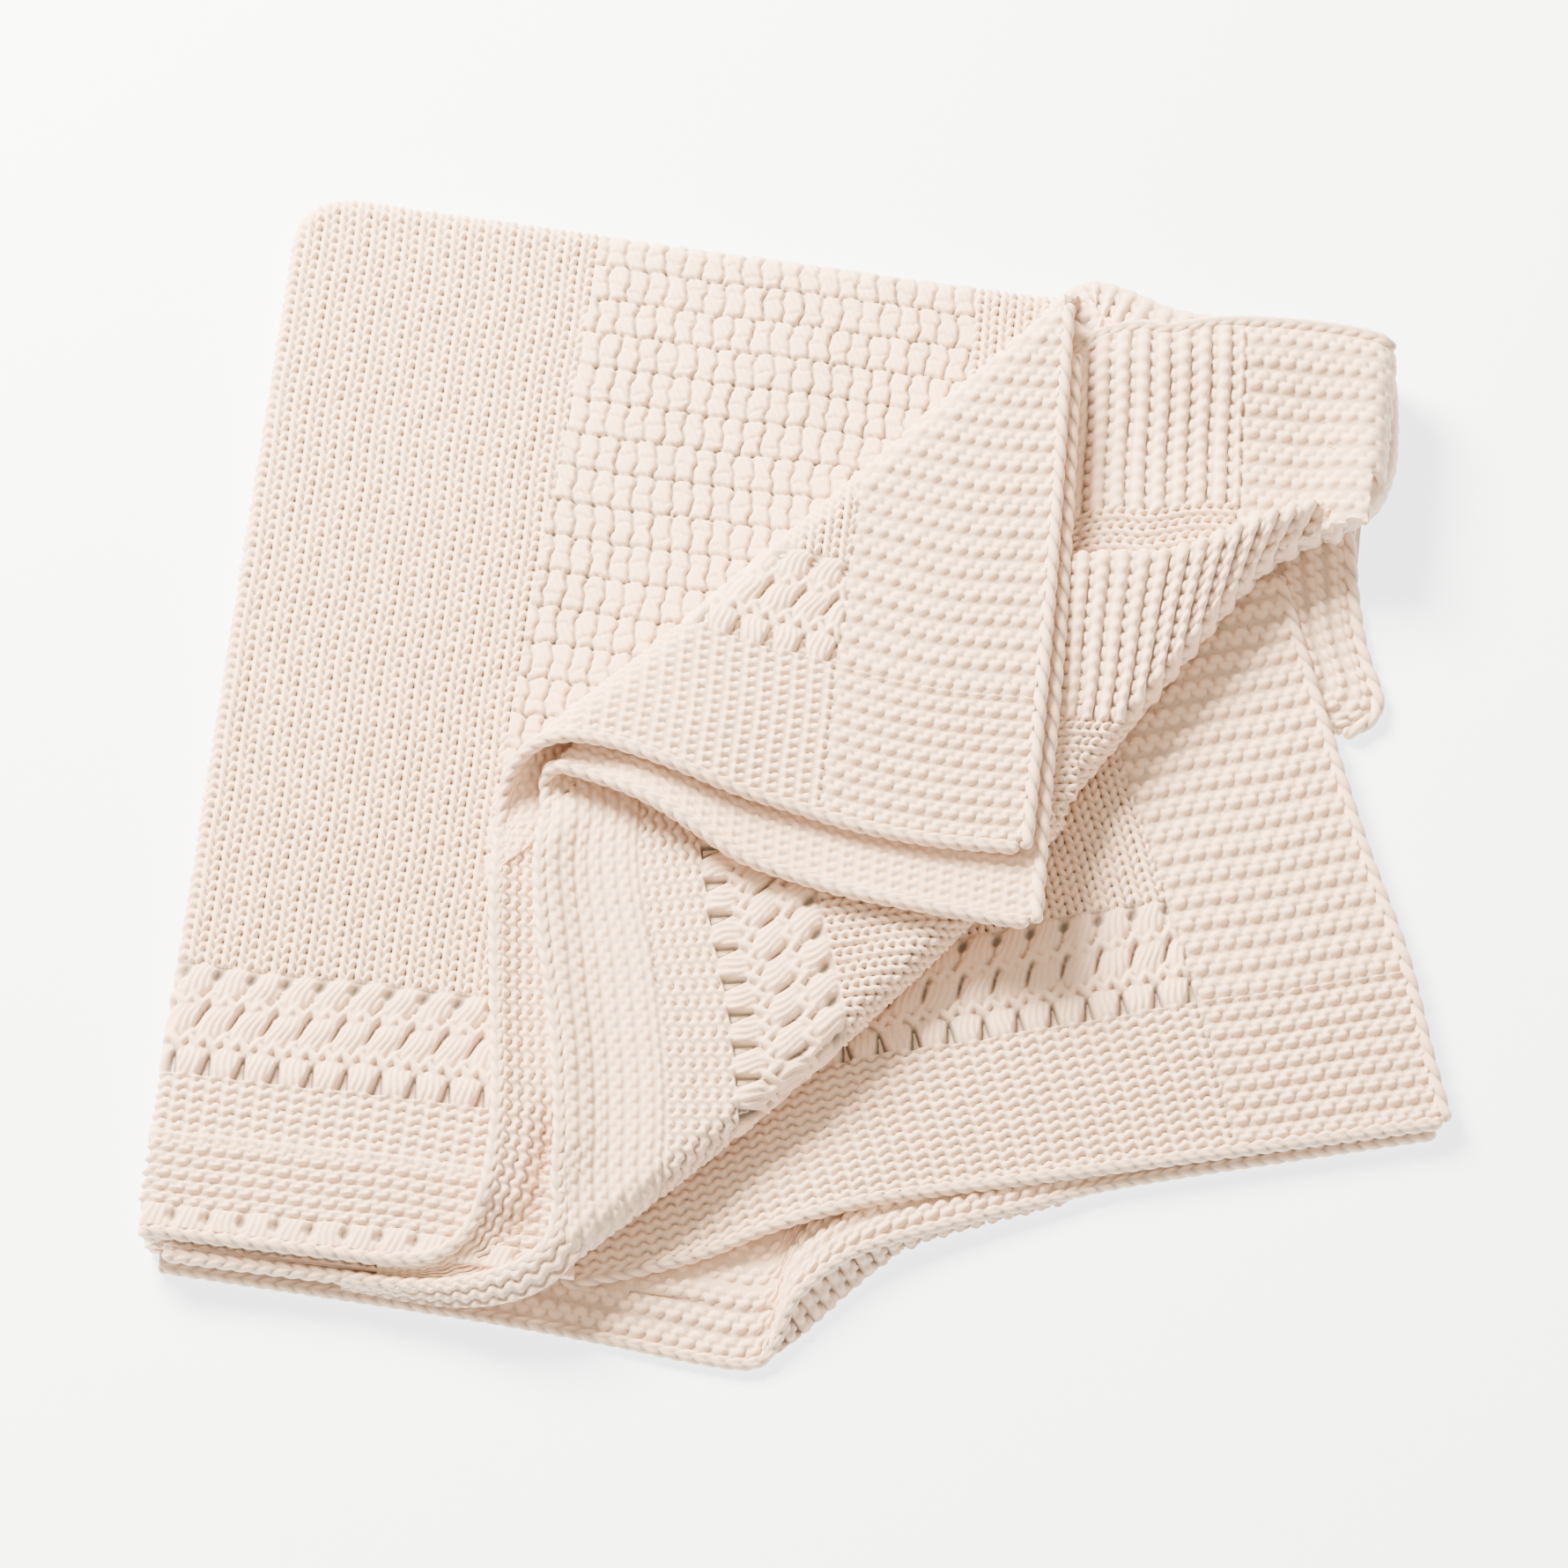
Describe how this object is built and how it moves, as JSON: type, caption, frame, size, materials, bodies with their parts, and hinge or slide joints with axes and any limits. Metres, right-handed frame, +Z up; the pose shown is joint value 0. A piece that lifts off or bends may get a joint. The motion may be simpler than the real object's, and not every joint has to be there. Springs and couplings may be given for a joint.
{
  "type": "folded throw blanket",
  "caption": "Chunky knitted cotton throw blanket, folded in quarters, its free corner turned over on a diagonal and turned back again; lies flat on a surface.",
  "frame": {"origin": "centre of the bounding box, on the surface that the throw lies on", "axes": "+X along the top fold, +Y from the hem to the top fold, +Z up"},
  "size_m": [0.624, 0.588, 0.0534],
  "materials": {
    "knitted_cotton": "matt chunky cotton knit",
    "edging_yarn": "matt twisted cotton edging"
  },
  "bodies": {
    "folded_stack": {"bottom_leaf": "knitted_cotton", "bottom_leaf_hem": "edging_yarn", "corner_leaf": "knitted_cotton", "corner_leaf_hem": "edging_yarn", "corner_leaf_selvedge": "edging_yarn", "diagonal_fold": "knitted_cotton", "inner_turned_leaf": "knitted_cotton", "inner_turned_leaf_hem": "edging_yarn", "inner_turned_leaf_selvedge": "edging_yarn", "lower_left_fold": "knitted_cotton", "outer_turned_leaf": "knitted_cotton", "outer_turned_leaf_hem": "edging_yarn", "outer_turned_leaf_selvedge": "edging_yarn", "second_leaf": "knitted_cotton", "second_leaf_hem": "edging_yarn", "top_fold": "knitted_cotton", "top_leaf": "knitted_cotton", "top_leaf_hem": "edging_yarn", "upper_left_fold": "knitted_cotton"},
    "turned_corner": {"inner_flap": "knitted_cotton", "inner_flap_hem": "edging_yarn", "inner_flap_selvedge": "edging_yarn", "outer_flap": "knitted_cotton", "outer_flap_hem": "edging_yarn", "outer_flap_selvedge": "edging_yarn"}
  },
  "joints": [
    {"name": "corner_crease", "type": "hinge", "parent": "folded_stack", "child": "turned_corner", "pos_m": [-0.029, 0.12425, 0.0403], "axis": [-0.6233, -0.782, 0], "range_deg": [0, 170]}
  ]
}
